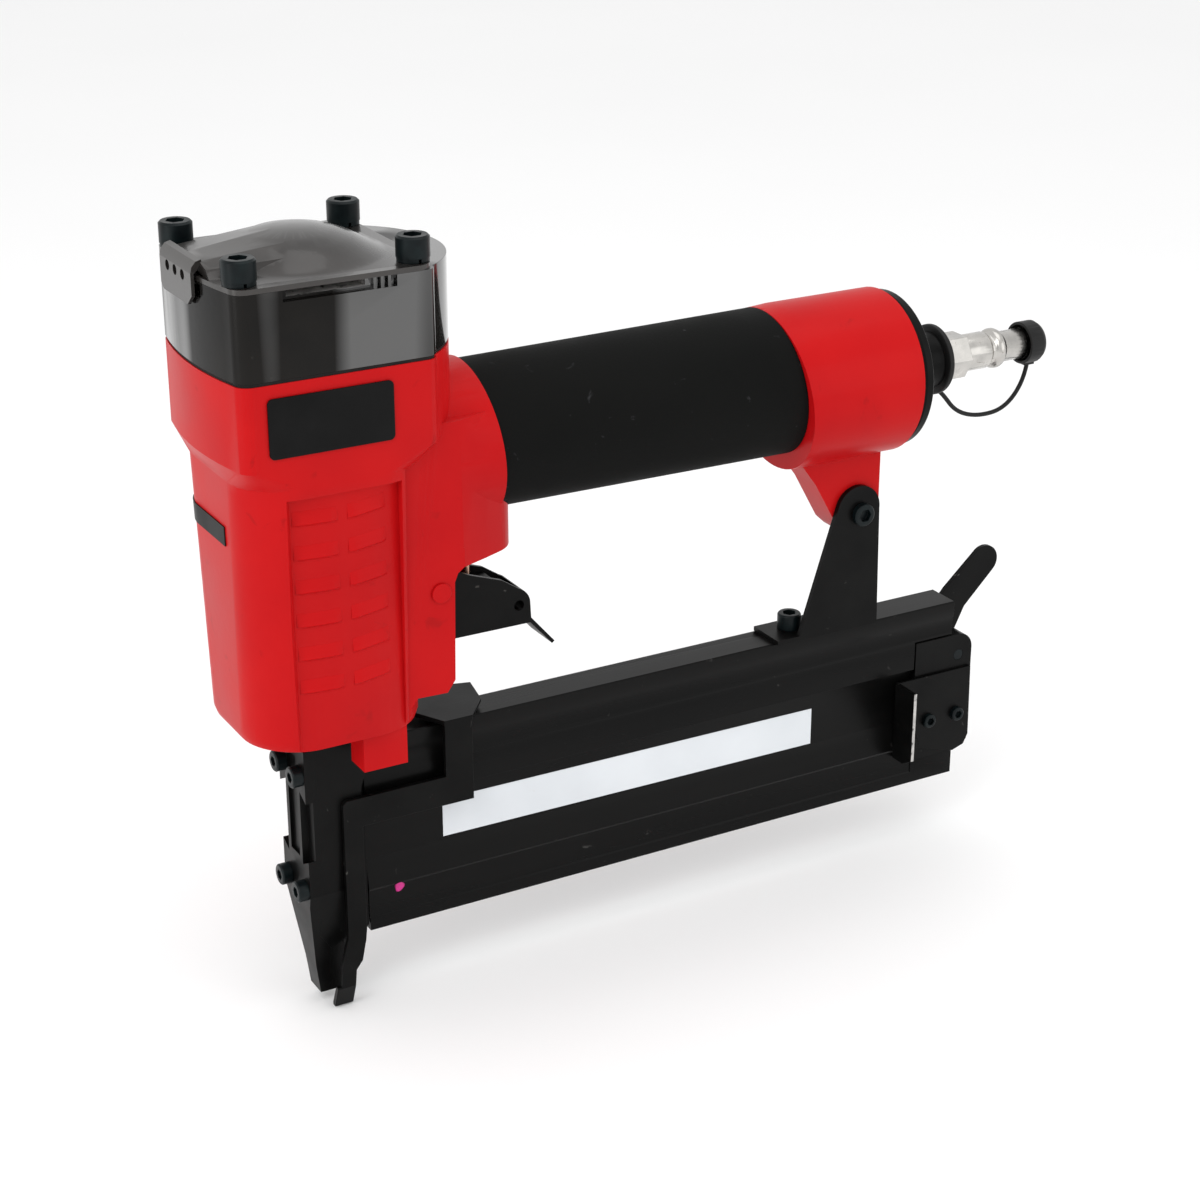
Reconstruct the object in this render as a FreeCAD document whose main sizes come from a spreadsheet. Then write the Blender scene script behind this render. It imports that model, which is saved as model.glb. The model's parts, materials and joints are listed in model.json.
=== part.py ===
import FreeCAD, Part
import math
import os
import Sketcher
from FreeCAD import Placement, Rotation, Vector

# Pneumatic nail gun.  +Z is up, the drive axis is the Z axis and the tip of the nose is at Z = 0.
# The handle, the air inlet and the magazine run towards +X.  The tool is symmetric about Y = 0
# except for the safety arm and the plates on its side.  Lengths are in millimetres.

doc = FreeCAD.newDocument("nail_gun")

DIMENSIONS = {
    # head and housing
    "head_half": 30, "cap_base": 211, "cap_top": 237, "gasket_thick": 1,
    "flange_base": 186, "body_top": 179, "body_base": 96, "body_half_top": 29, "body_half_low": 28,
    "body_round_top": 16, "body_round_low": 19, "chamber_radius": 22.5, "floor_top": 99,
    "screw_along": 25.9, "screw_across": 23.7, "screw_top": 246, "screw_radius": 2.95,
    # cylinder, piston, valves
    "bore_radius": 17, "cylinder_radius": 19.5, "cylinder_top": 197, "piston_radius": 16.93,
    "piston_base": 182, "piston_top": 196, "blade_tip": 71, "blade_half_thick": 0.8,
    "blade_half_wide": 1.5, "valve_radius": 21.6, "valve_base": 198.1, "valve_top": 216,
    # handle
    "handle_level": 175.7, "grip_front": 50, "grip_rear": 163, "grip_radius_front": 23.1,
    "grip_radius_rear": 24.1, "tube_radius": 20.5, "handle_bore": 17.5, "neck_radius": 24.4,
    "rear_radius": 27.1, "rear_bore": 22.5, "rear_end": 203.7, "rear_leg_half": 6.3,
    # air inlet
    "plug_level": 173, "plug_tip": 266, "plug_tip_radius": 5.2, "nut_front": 227.6,
    "nut_rear": 237.6, "nut_flats": 14, "ring_radius": 11.7, "dust_mouth": 263, "dust_end": 270.6,
    "dust_radius": 7.2, "dust_bore": 6.2, "strap_radius": 0.75,
    # trigger
    "pin_along": 31.4, "pin_level": 137.1, "trigger_half": 7, "trigger_wall": 1.4,
    "stem_along": 51.5, "stem_foot": 129.4, "stem_radius": 1.75,
    # nose
    "nose_half": 10, "nose_front": -5, "nose_rear": 12, "plate_front": -9, "nose_side_rear": 9.5,
    "front_screw_across": 6.4, "upper_screw_level": 79, "lower_screw_level": 39.5,
    # magazine
    "rail_half": 6.5, "rail_top": 85.3, "rail_base": 62.9, "rail_front": 12, "rail_rear": 237,
    "slide_base": 18.9, "slide_front": 12.3, "slide_rear": 239.3, "slide_stop": 221.5,
    "neck_half": 4.2, "slot_half": 1.6, "rod_level": 29.1, "rod_radius": 1.4,
    "block_rear": 245.7, "block_top": 72.4, "block_base": 27.5,
    "latch_along": 240, "latch_level": 64.5,
    # safety arm
    "arm_outer": -12.2, "arm_inner": -10.4, "arm_foot": -3.2,
    # strut bracket
    "strut_along": 194.4, "strut_level": 126.4, "strut_outer": 8.3,
}

sheet = doc.addObject("Spreadsheet::Sheet", "dims")
for row, (alias, number) in enumerate(DIMENSIONS.items(), start=1):
    sheet.set(f"A{row}", str(number))
    sheet.setAlias(f"A{row}", alias)
doc.recompute()


class Size:
    """A number together with the sheet expression that gives it."""

    def __init__(self, value, text):
        self.value = float(value)
        self.text = text

    def __add__(self, other):
        return joined(self, "+", other, self.value + size(other).value)

    def __radd__(self, other):
        return joined(other, "+", self, size(other).value + self.value)

    def __sub__(self, other):
        return joined(self, "-", other, self.value - size(other).value)

    def __rsub__(self, other):
        return joined(other, "-", self, size(other).value - self.value)

    def __mul__(self, other):
        return joined(self, "*", other, self.value * size(other).value)

    def __rmul__(self, other):
        return joined(other, "*", self, size(other).value * self.value)

    def __truediv__(self, other):
        return joined(self, "/", other, self.value / size(other).value)

    def __neg__(self):
        return joined(0, "-", self, -self.value)


def size(number):
    return number if isinstance(number, Size) else Size(number, repr(float(number)))


def joined(first, sign, second, value):
    return Size(value, f"({size(first).text} {sign} {size(second).text})")


class Sizes:
    """The sheet's dimensions as attributes."""

    def __getattr__(self, alias):
        return Size(DIMENSIONS[alias], f"dims.{alias}")


d = Sizes()


def bind(owner, path, number, direct=None):
    """Set one property; keep it tied to the sheet where the number comes from there."""
    number = size(number)
    if direct:
        setattr(owner, direct, number.value)
    if "dims." in number.text:
        owner.setExpression(path, number.text)


# ---------------------------------------------------------------- sketches

XY, XZ, YZ = "XY_Plane", "XZ_Plane", "YZ_Plane"


def circle(across, up, radius):
    return ("circle", across, up, radius)


def rounded(left, low, right, high, radius):
    return ("rounded", left, low, right, high, radius)


def box(left, low, right, high):
    return [(left, low), (right, low), (right, high), (left, high)]


def mirrored(points):
    """A closed outline from its right half, listed from bottom to top."""
    return points + [(-size(x), y) for x, y in reversed(points)]


def place_point(sketch, geometry, end, across, up):
    for kind, number in (("DistanceX", across), ("DistanceY", up)):
        number = size(number)
        index = sketch.addConstraint(
            Sketcher.Constraint(kind, -1, 1, geometry, end, number.value))
        if "dims." in number.text:
            sketch.setExpression(f"Constraints[{index}]", number.text)


def set_radius(sketch, geometry, radius):
    radius = size(radius)
    index = sketch.addConstraint(Sketcher.Constraint("Radius", geometry, radius.value))
    if "dims." in radius.text:
        sketch.setExpression(f"Constraints[{index}]", radius.text)


def flat(across, up):
    return Vector(size(across).value, size(up).value, 0)


def draw_circle(sketch, across, up, radius):
    index = sketch.addGeometry(
        Part.Circle(flat(across, up), Vector(0, 0, 1), size(radius).value), False)
    place_point(sketch, index, 3, across, up)
    set_radius(sketch, index, radius)


def draw_rounded(sketch, left, low, right, high, radius):
    """Rectangle with four equal round corners."""
    x0, y0, x1, y1, r = (size(n).value for n in (left, low, right, high, radius))
    lines = [((x0 + r, y0), (x1 - r, y0)), ((x1, y0 + r), (x1, y1 - r)),
             ((x1 - r, y1), (x0 + r, y1)), ((x0, y1 - r), (x0, y0 + r))]
    centres = [(x1 - r, y0 + r), (x1 - r, y1 - r), (x0 + r, y1 - r), (x0 + r, y0 + r)]
    first = sketch.GeometryCount
    for turn, (line, centre) in enumerate(zip(lines, centres)):
        sketch.addGeometry(Part.LineSegment(flat(*line[0]), flat(*line[1])), False)
        start = math.radians(-90 + 90 * turn)
        sketch.addGeometry(Part.ArcOfCircle(
            Part.Circle(flat(*centre), Vector(0, 0, 1), r), start, start + math.pi / 2), False)
    for turn in range(4):
        line, arc = first + 2 * turn, first + 2 * turn + 1
        after = first + (2 * turn + 2) % 8
        sketch.addConstraint(Sketcher.Constraint("Tangent", line, 2, arc, 1))
        sketch.addConstraint(Sketcher.Constraint("Tangent", arc, 2, after, 1))
        sketch.addConstraint(
            Sketcher.Constraint("Horizontal" if turn % 2 == 0 else "Vertical", line))
        if turn:
            sketch.addConstraint(Sketcher.Constraint("Equal", first + 1, arc))
    set_radius(sketch, first + 1, radius)
    for turn, (kind, edge) in enumerate((("DistanceY", low), ("DistanceX", right),
                                         ("DistanceY", high), ("DistanceX", left))):
        edge = size(edge)
        index = sketch.addConstraint(
            Sketcher.Constraint(kind, -1, 1, first + 2 * turn, 1, edge.value))
        if "dims." in edge.text:
            sketch.setExpression(f"Constraints[{index}]", edge.text)


def draw_path(sketch, points):
    """Closed outline.  A corner may carry a third entry: a point that its arc passes through
    on the way from the corner before it."""
    first = sketch.GeometryCount
    count = len(points)
    for number in range(count):
        start, finish = points[number], points[(number + 1) % count]
        if len(finish) == 3:
            arc = Part.Arc(flat(*start[:2]), flat(*finish[2]), flat(*finish[:2]))
            index = sketch.addGeometry(arc, False)
            set_radius(sketch, index, sketch.Geometry[index].Radius)
        else:
            sketch.addGeometry(Part.LineSegment(flat(*start[:2]), flat(*finish[:2])), False)
    ends = []
    for number in range(count):
        shape = sketch.Geometry[first + number]
        start = flat(*points[number][:2])
        backward = (shape.StartPoint - start).Length > 1e-6
        ends.append((2, 1) if backward else (1, 2))
    for number in range(count):
        after = (number + 1) % count
        sketch.addConstraint(Sketcher.Constraint(
            "Coincident", first + number, ends[number][1], first + after, ends[after][0]))
        place_point(sketch, first + number, ends[number][0], *points[number][:2])


def sketch_on(body, plane, loops, level=0, shift=(0, 0)):
    """Sketch on one of the body's planes.  level is measured along the plane's own axis and
    shift moves the sketch's origin within the plane."""
    sketch = body.newObject("Sketcher::SketchObject", f"{body.Label}_outline")
    support = next(f for f in body.Origin.OriginFeatures if f.Role == plane)
    sketch.AttachmentSupport = (support, [""])
    sketch.MapMode = "FlatFace"
    depth = -size(level) if plane == XZ else size(level)
    sketch.AttachmentOffset = Placement(
        Vector(size(shift[0]).value, size(shift[1]).value, depth.value), Rotation())
    for letter, number in (("x", shift[0]), ("y", shift[1]), ("z", depth)):
        bind(sketch, f"AttachmentOffset.Base.{letter}", number)
    for loop in loops:
        if isinstance(loop, tuple) and loop[0] == "circle":
            draw_circle(sketch, *loop[1:])
        elif isinstance(loop, tuple) and loop[0] == "rounded":
            draw_rounded(sketch, *loop[1:])
        else:
            draw_path(sketch, loop)
    sketch.Visibility = False
    return sketch


# ---------------------------------------------------------------- features

bodies = {}


def new_body(label):
    body = doc.addObject("PartDesign::Body", label)
    body.Label = label
    body.Placement = Placement()
    bodies[label] = body
    return body


def slab(body, plane, loops, low, high):
    """Material between two levels along the plane's axis."""
    feature = body.newObject("PartDesign::Pad", f"{body.Label}_pad")
    feature.Profile = sketch_on(body, plane, loops, high if plane == XZ else low)
    bind(feature, "Length", size(high) - low, "Length")
    return feature


def hollow(body, plane, loops, low, high):
    """Cut between two levels along the plane's axis."""
    doc.recompute()
    before = body.Shape.Volume
    feature = body.newObject("PartDesign::Pocket", f"{body.Label}_cut")
    feature.Profile = sketch_on(body, plane, loops, high if plane == XZ else low)
    feature.Reversed = True
    bind(feature, "Length", size(high) - low, "Length")
    doc.recompute()
    if body.Shape.Volume > before - 1e-4:
        raise ValueError(f"{body.Label}: a cut removed nothing")
    return feature


def turned(body, plane, points, shift=(0, 0), level=0, upright=True):
    """Material turned about the sketch's own upright or level axis."""
    feature = body.newObject("PartDesign::Revolution", f"{body.Label}_turned")
    sketch = sketch_on(body, plane, [points], level, shift)
    feature.Profile = sketch
    feature.ReferenceAxis = (sketch, ["V_Axis" if upright else "H_Axis"])
    feature.Angle = 360
    return feature


def between(body, plane, low_loop, low, high_loop, high, cut=False):
    """Loft between two outlines."""
    kind = "PartDesign::SubtractiveLoft" if cut else "PartDesign::AdditiveLoft"
    feature = body.newObject(kind, f"{body.Label}_loft")
    feature.Profile = sketch_on(body, plane, [low_loop], low)
    feature.Sections = [sketch_on(body, plane, [high_loop], high)]
    feature.Ruled = True
    return feature


def repeated(body, originals, role, length, count, role2=None, length2=0, count2=1):
    """Linear pattern in one or two directions."""
    def direction(name):
        return (next(f for f in body.Origin.OriginFeatures if f.Role == name), [""])

    feature = body.newObject("PartDesign::LinearPattern", f"{body.Label}_pattern")
    feature.Originals = originals
    feature.Direction = direction(role)
    feature.Occurrences = count
    bind(feature, "Length", length, "Length")
    feature.Reversed = False
    if role2:
        feature.Direction2 = direction(role2)
        feature.Occurrences2 = count2
        bind(feature, "Length2", length2, "Length2")
        feature.Reversed2 = False
    body.Tip = feature
    return feature


def coil(body, plane, mean, wire, low, high, pitch, shift=(0, 0), level=0, upright=True):
    """Round-wire spring about the sketch's own axis, between two levels."""
    length = size(high) - low - 2 * wire
    centre = size(low) + wire
    ring = circle(mean, centre, wire) if upright else circle(centre, mean, wire)
    sketch = sketch_on(body, plane, [ring], level, shift)
    feature = body.newObject("PartDesign::AdditiveHelix", f"{body.Label}_coil")
    feature.Profile = sketch
    feature.ReferenceAxis = (sketch, ["V_Axis" if upright else "H_Axis"])
    feature.Mode = 0
    feature.Pitch = pitch
    bind(feature, "Height", length, "Height")
    return feature


def hexagon(across, up, flats):
    """Hexagon by its width across flats."""
    reach = size(flats) / math.sqrt(3)
    return [(size(across) + reach * round(math.cos(math.radians(a)), 9),
             size(up) + reach * round(math.sin(math.radians(a)), 9))
            for a in range(0, 360, 60)]


# ---------------------------------------------------------------- housing

def square(half, corner):
    return rounded(-size(half), -size(half), half, half, corner)


def head_outline(inset=0):
    """Plan of the head: bowed front and rear faces, flat sides and round corners."""
    side, front, rear = d.head_half - inset, size(-33) + inset, size(44.2) - inset
    return [(-25.5, -side, (front + 4.1, -side + 1.3)), (27, -side),
            (rear - 13.6, -side + 3.8, (rear - 14.7, -side + 1.1)),
            (rear - 13.6, side - 3.8, (rear, 0)), (27, side, (rear - 14.7, side - 1.1)),
            (-25.5, side), (front + 2.7, side - 4.5, (front + 4.1, side - 1.3)),
            (front + 2.7, -side + 4.5, (front, 0))]


housing = new_body("housing")
levels = [(d.body_base, d.body_half_low - 2.4, d.body_round_low - 2.4),
          (d.body_base + 0.9, d.body_half_low - 0.7, d.body_round_low - 0.7),
          (d.body_base + 3, d.body_half_low, d.body_round_low),
          (d.body_top, d.body_half_top, d.body_round_top)]
for (low, half, corner), (high, next_half, next_corner) in zip(levels, levels[1:]):
    between(housing, XY, square(half, corner), low, square(next_half, next_corner), high)
# rear corners cut back to the plane of the cheeks, and a sunk panel on each side
for panel in ([(-17.4, -27.2), (-15.6, -25.4), (18.3, -25, (0, -27.1)), (18.3, -31),
               (-17.4, -31)],
              [(18.3, 25), (-15.6, 25.4, (0, 27.1)), (-17.4, 27.2), (-17.4, 31), (18.3, 31)]):
    hollow(housing, XY, [panel], 90, 176)
for near, far in ((-31, -24.4), (24.4, 31)):
    hollow(housing, XY, [box(19.6, near, 31, far)], 90, d.body_top)
between(housing, XY, square(d.body_half_top, d.body_round_top), d.body_top,
        head_outline(), d.flange_base)
slab(housing, XY, [head_outline()], d.flange_base, d.cap_base)
# collar round the front of the handle, its rim leaning forwards at the top
slab(housing, YZ, [circle(0, d.handle_level, d.neck_radius)], 20, 58)
hollow(housing, XZ, [[(50.6, 202), (57, 147), (60, 147), (60, 202)]], -26, 26)
# neck between the collar and the trigger, hollowed behind the rim for the grip sleeve
slab(housing, XY, [[(10, -d.neck_radius), (39, -d.neck_radius), (48.2, -20.8), (54.6, -18),
                    (61.5, -7, (59.9, -13.2)), (61.5, 7), (54.6, 18, (59.9, 13.2)),
                    (48.2, 20.8), (39, d.neck_radius), (10, d.neck_radius)]], 143.7, 189.4)
hollow(housing, XZ, [[(55.3, 161.5), (70, 161.5), (70, 190), (52, 190)]], -26, 26)
hollow(housing, YZ, [circle(0, d.handle_level, d.grip_radius_front + 0.6)], 55.3, 70)
# cheeks that carry the trigger pin
slab(housing, XZ, [[(10, 97), (19.1, 97), (19.1, 99.6), (22.8, 104.6), (32.8, 104.3),
                    (35.5, 108), (36.1, 139.5), (37.2, 142.2), (39.5, 143.9), (39.5, 150),
                    (10, 150)]], -d.neck_radius, d.neck_radius)
# legs beside the nose
for low, high in ((-d.neck_radius, -15), (15, d.neck_radius)):
    slab(housing, XY, [box(4.6, low, 18.9, high)], 84.4, 100)
# rear section, its front face leaning like the rim, and the tube between them
turned(housing, XZ, [(154, 0), (154, d.rear_radius - 1.6), (158, d.rear_radius - 0.5),
                     (166, d.rear_radius), (d.rear_end, d.rear_radius), (d.rear_end, 0)],
       (0, d.plug_level), upright=False)
hollow(housing, XZ, [[(150, 140), (165.2, 140), (157.7, 202), (150, 202)]], -28, 28)
slab(housing, YZ, [circle(0, d.handle_level, d.tube_radius)], 40, d.grip_rear)
# rear leg for the strut
slab(housing, XZ, [[(170, 158), (168.5, 151), (172.4, 145), (177, 138.8), (186, 122.8),
                    (189.5, 119.5), (200, 119.5), (202.5, 122.5), (202.5, 158)]],
     -d.rear_leg_half, d.rear_leg_half)
# hollows
hollow(housing, XY, [circle(0, 0, d.chamber_radius)], 103, d.cap_base)
hollow(housing, XY, [circle(0, 0, d.cylinder_radius + 0.05)], d.floor_top, 103)
hollow(housing, XY, [circle(0, 0, 8)], d.body_base, d.floor_top)
hollow(housing, YZ, [circle(0, d.handle_level - 1, d.handle_bore)], 18, 175)
hollow(housing, YZ, [circle(0, d.plug_level, d.rear_bore)], 171, d.rear_end)
hollow(housing, XY, [circle(0, 0, d.chamber_radius + 2)], 103, 185)
hollow(housing, XZ, [box(26.4, 98, 47, 142.6)], -d.trigger_half - 0.6, d.trigger_half + 0.6)
hollow(housing, XZ, [circle(d.pin_along, d.pin_level, 2)], -25, 25)
hollow(housing, XY, [circle(d.stem_along, 0, 4)], 143, 159)
screw_hole = hollow(housing, XY, [circle(-d.screw_along, -d.screw_across, d.screw_radius + 0.05)],
                    191, d.cap_base)
repeated(housing, [screw_hole], "X_Axis", 2 * d.screw_along, 2,
         "Y_Axis", 2 * d.screw_across, 2)
hollow(housing, XZ, [circle(d.strut_along, d.strut_level, 2.5)],
       -d.rear_leg_half, d.rear_leg_half)

# ---------------------------------------------------------------- head

gasket = new_body("cap_gasket")
slab(gasket, XY, [head_outline(0.4), circle(0, 0, d.chamber_radius)],
     d.cap_base, d.cap_base + d.gasket_thick)
gasket_hole = hollow(gasket, XY, [circle(-d.screw_along, -d.screw_across, d.screw_radius + 0.3)],
                     d.cap_base, d.cap_base + d.gasket_thick)
repeated(gasket, [gasket_hole], "X_Axis", 2 * d.screw_along, 2, "Y_Axis", 2 * d.screw_across, 2)

cap = new_body("cylinder_cap")
slab(cap, XY, [head_outline()], d.cap_base + d.gasket_thick, d.cap_top)
hollow(cap, XY, [circle(0, 0, 22), circle(0, 0, 7)], d.cap_base + d.gasket_thick, 230)
hollow(cap, XY, [circle(0, 0, 4.5)], d.cap_base + d.gasket_thick, d.cap_top)
hollow(cap, XZ, [box(-16, 233.7, 18, d.cap_top)], -31, -27.5)
hollow(cap, XZ, [box(-14.1, 234.6, 9.4, d.cap_top)], -28, -5)
rib = slab(cap, XZ, [box(11, 233.7, 12, d.cap_top)], -29.6, -27.5)
repeated(cap, [rib], "X_Axis", 4.4, 3)
hollow(cap, YZ, [box(-11, 232.6, 18.5, 236.2)], -34, -3)
cap_hole = hollow(cap, XY, [circle(-d.screw_along, -d.screw_across, d.screw_radius + 0.3)],
                  d.cap_base + d.gasket_thick, d.cap_top)
repeated(cap, [cap_hole], "X_Axis", 2 * d.screw_along, 2, "Y_Axis", 2 * d.screw_across, 2)

cover = new_body("exhaust_cover")
cover_top = d.cap_top + 1.5
slab(cover, XY, [[(-25.5, -d.head_half, (-28.9, -28.7)), (25, -d.head_half),
                  (30, -25, (28.5, -28.5)), (30, 25), (25, d.head_half, (28.5, 28.5)),
                  (-25.5, d.head_half), (-30.3, 25.5, (-28.9, 28.7)),
                  (-30.3, -25.5, (-33, 0))]], d.cap_top, cover_top)
hollow(cover, XY, [circle(0, 0, 21.5)], d.cap_top, cover_top)
dome = [(0, 8.2), (6, 7.9), (12, 6.7), (17, 4.8), (21, 2.6), (24.5, 0.8), (27, -0.2), (25, -1),
        (21.8, -0.5), (20.8, 0.4), (17.2, 2.7), (12.4, 4.9), (6.4, 6.4), (0, 6.8)]
turned(cover, XZ, [(across, cover_top + up) for across, up in dome])
# deflector: a broad arched slope from the dome down to the flange in front of the outlet
between(cover, YZ, [(-17, d.cap_top), (16, d.cap_top), (15, 240.8), (11, 242.3), (1, 242.8),
                    (-9, 242.3), (-13.5, 240.8)], -31.4,
        [(-18, d.cap_top), (18, d.cap_top), (17, 242.2), (11, 244.8), (0, 246.2),
         (-11, 244.8), (-17, 242.2)], -7)
hollow(cover, XZ, [[(-32, 236), (-32, 238), (-30, 240.6), (-13, 242), (-13, 236)]], -11, 12)
slab(cover, XZ, [[(-34.4, 229.8), (-33.4, 229.8), (-33.4, 239), (-31, 241.4), (-31, 242.9),
                  (-32.7, 242.4), (-34, 240.9), (-34.4, 239.2)]], -9.5, 14.5)
for edge in ([(-9.6, 229), (-5, 229), (-9.6, 233)], [(14.6, 229), (14.6, 231.5), (11.5, 229)]):
    hollow(cover, YZ, [edge], -35, -33)
front_hole = hollow(cover, YZ, [circle(-3, 237.6, 1.5)], -35, -33)
repeated(cover, [front_hole], "Y_Axis", 11.6, 3)
cover_hole = hollow(cover, XY, [circle(-d.screw_along, -d.screw_across, d.screw_radius + 0.3)],
                    d.cap_top, cover_top)
repeated(cover, [cover_hole], "X_Axis", 2 * d.screw_along, 2, "Y_Axis", 2 * d.screw_across, 2)

washers = new_body("cap_washers")
ring = slab(washers, XY, [circle(-d.screw_along, -d.screw_across, 4.7),
                          circle(-d.screw_along, -d.screw_across, d.screw_radius + 0.1)],
            cover_top, cover_top + 1.3)
split = hollow(washers, XY, [box(-d.screw_along - 0.4, -d.screw_across - 6,
                                 -d.screw_along + 0.4, -d.screw_across - 2.5)],
               cover_top, cover_top + 1.3)
repeated(washers, [ring, split], "X_Axis", 2 * d.screw_along, 2,
         "Y_Axis", 2 * d.screw_across, 2)

screws = new_body("cap_screws")
head_base = cover_top + 1.3
screw = turned(screws, XZ, [(0, 192), (d.screw_radius, 192), (d.screw_radius, head_base),
                            (4.9, head_base), (4.9, d.screw_top - 0.6), (4.3, d.screw_top),
                            (0, d.screw_top)], (-d.screw_along, 0), -d.screw_across)
socket = hollow(screws, XY, [hexagon(-d.screw_along, -d.screw_across, 5)],
                d.screw_top - 3.2, d.screw_top)
repeated(screws, [screw, socket], "X_Axis", 2 * d.screw_along, 2,
         "Y_Axis", 2 * d.screw_across, 2)

cylinder = new_body("cylinder")
turned(cylinder, XZ, [(d.bore_radius, d.floor_top), (d.cylinder_radius, d.floor_top),
                      (d.cylinder_radius, 187), (22.4, 187), (22.4, 191),
                      (d.cylinder_radius, 191), (d.cylinder_radius, d.cylinder_top - 1),
                      (d.bore_radius, d.cylinder_top - 1)])
port = hollow(cylinder, XZ, [circle(0, 122, 1.6)], -25, 25)

seal = new_body("cylinder_seal")
turned(seal, XZ, [(d.bore_radius + 0.2, d.cylinder_top - 1), (d.cylinder_radius, d.cylinder_top - 1),
                  (d.cylinder_radius, d.cylinder_top), (d.bore_radius + 0.2, d.cylinder_top)])

bumper = new_body("bumper")
turned(bumper, XZ, [(6, d.floor_top), (16.6, d.floor_top), (16.6, 105), (14.5, 109.4),
                    (8, 109.4), (6, 107.5)])

head_valve = new_body("head_valve")
turned(head_valve, XZ, [(7.4, 202), (9, 202), (9, d.valve_base), (20.8, d.valve_base),
                        (20.8, 203), (d.valve_radius, 203), (d.valve_radius, 206.5), (19.8, 206.5),
                        (19.8, 209), (d.valve_radius, 209), (d.valve_radius, d.valve_top),
                        (18.5, d.valve_top), (18.5, 207), (7.4, 207)])

rings = new_body("head_valve_ring")
turned(rings, XZ, [(19.8, 206.5), (21.9, 206.5), (21.9, 209), (19.8, 209)])

head_spring = new_body("head_valve_spring")
coil(head_spring, XZ, 12.5, 0.7, 207.05, 229.95, 4.6)

piston = new_body("piston")
turned(piston, XZ, [(0, d.piston_base), (11, d.piston_base), (13, d.piston_base + 2),
                    (d.piston_radius, d.piston_base + 3), (d.piston_radius, 187), (14, 187),
                    (14, 190), (d.piston_radius, 190), (d.piston_radius, d.piston_top),
                    (13, d.piston_top), (12, 192.5), (0, 192.5)])
hollow(piston, XY, [box(-d.blade_half_thick, -d.blade_half_wide,
                        d.blade_half_thick, d.blade_half_wide)], d.piston_base, 188)

piston_ring = new_body("piston_ring")
turned(piston_ring, XZ, [(14, 187), (16.96, 187), (16.96, 190), (14, 190)])

blade = new_body("driver_blade")
slab(blade, XY, [box(-d.blade_half_thick, -d.blade_half_wide,
                     d.blade_half_thick, d.blade_half_wide)], d.blade_tip, 188)

# ---------------------------------------------------------------- plates on the housing

plate = new_body("brand_plate")
slab(plate, XZ, [rounded(-22.4, 189.6, 15.6, 207.2, 1.6)], -d.head_half - 0.8, -d.head_half)

band = new_body("front_label")
skirt_top = d.body_base + 3
rise = (d.body_half_top - d.body_half_low) / (d.body_top - skirt_top)
round_rise = (d.body_round_top - d.body_round_low) / (d.body_top - skirt_top)


def skin(level, out):
    """Outline of the housing's body at one level, moved outwards."""
    half = d.body_half_low + rise * (level - skirt_top)
    corner = d.body_round_low + round_rise * (level - skirt_top)
    return square(half + out, corner + out)


between(band, XY, skin(158.3, 0.4), 158.3, skin(164.2, 0.4), 164.2)
between(band, XY, skin(158.3, 0), 158.3, skin(164.2, 0), 164.2, cut=True)
hollow(band, XY, [[(-31, -9), (-20, -9), (-20, 21), (-18.6, 31), (31, 31), (31, -31),
                   (-31, -31)]], 158, 165)

# ---------------------------------------------------------------- handle and inlet

grip = new_body("grip")
turned(grip, XZ, [(d.grip_front, d.tube_radius + 0.1), (d.grip_front, d.grip_radius_front),
                  (d.grip_rear + 2, d.grip_radius_rear),
                  (d.grip_rear + 2, d.tube_radius + 0.1)],
       (0, d.handle_level), upright=False)
hollow(grip, XZ, [[(48, 147), (57, 147), (50.6, 202), (48, 202)]], -26, 26)
hollow(grip, XZ, [[(165.2, 140), (167, 140), (167, 202), (157.7, 202)]], -26, 26)

end_gasket = new_body("end_cap_gasket")
slab(end_gasket, YZ, [circle(0, d.plug_level, 25.4), circle(0, d.plug_level, d.rear_bore)],
     d.rear_end, d.rear_end + 1)

end_cap = new_body("end_cap")
spigot = d.rear_bore - 0.05
turned(end_cap, XZ, [(197.2, 18), (197.2, spigot - 0.4), (197.7, spigot),
                     (d.rear_end + 1, spigot), (d.rear_end + 1, 25.4),
                     (d.rear_end + 2, 25.9), (208, 25.9), (208.3, 25.4), (208.3, 8.5),
                     (199.5, 8.5), (199.5, 11.5), (203.5, 18)], (0, d.plug_level),
       upright=False)

bush = new_body("inlet_bush")
turned(bush, XZ, [(200.5, 5), (200.5, 8.45), (208.3, 8.45), (208.3, 10.8), (213, 9.6),
                  (223, 9.2), (225, 9.6), (225, 6.05), (212, 6.05), (212, 5)],
       (0, d.plug_level), upright=False)

cap_ring = new_body("dust_cap_ring")
turned(cap_ring, XZ, [(225, 6.05), (225, 10.8), (225.5, d.ring_radius), (227, d.ring_radius),
                      (d.nut_front, 11), (d.nut_front, 6.05)], (0, d.plug_level),
       upright=False)
slab(cap_ring, XZ, [box(226, 160.7, 229.2, 163)], -1.5, 1.5)

plug = new_body("air_plug")
turned(plug, XZ, [(214, 3), (214, 6), (d.nut_front, 6), (d.nut_front, 6.9), (d.nut_rear, 6.9),
                  (d.nut_rear, 6.1), (238.6, 6.25), (247, 6.25), (248, 5.4), (249, 5.4),
                  (249.9, 6.5), (250.7, 6.8), (251.7, 6.8), (252.5, 6.5), (253.4, 5.5),
                  (254, d.plug_tip_radius), (d.plug_tip - 0.6, d.plug_tip_radius),
                  (d.plug_tip, d.plug_tip_radius - 0.6), (d.plug_tip, 3)],
       (0, d.plug_level), upright=False)
slab(plug, YZ, [hexagon(0, d.plug_level, d.nut_flats), circle(0, d.plug_level, 5)],
     d.nut_front, d.nut_rear)

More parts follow.
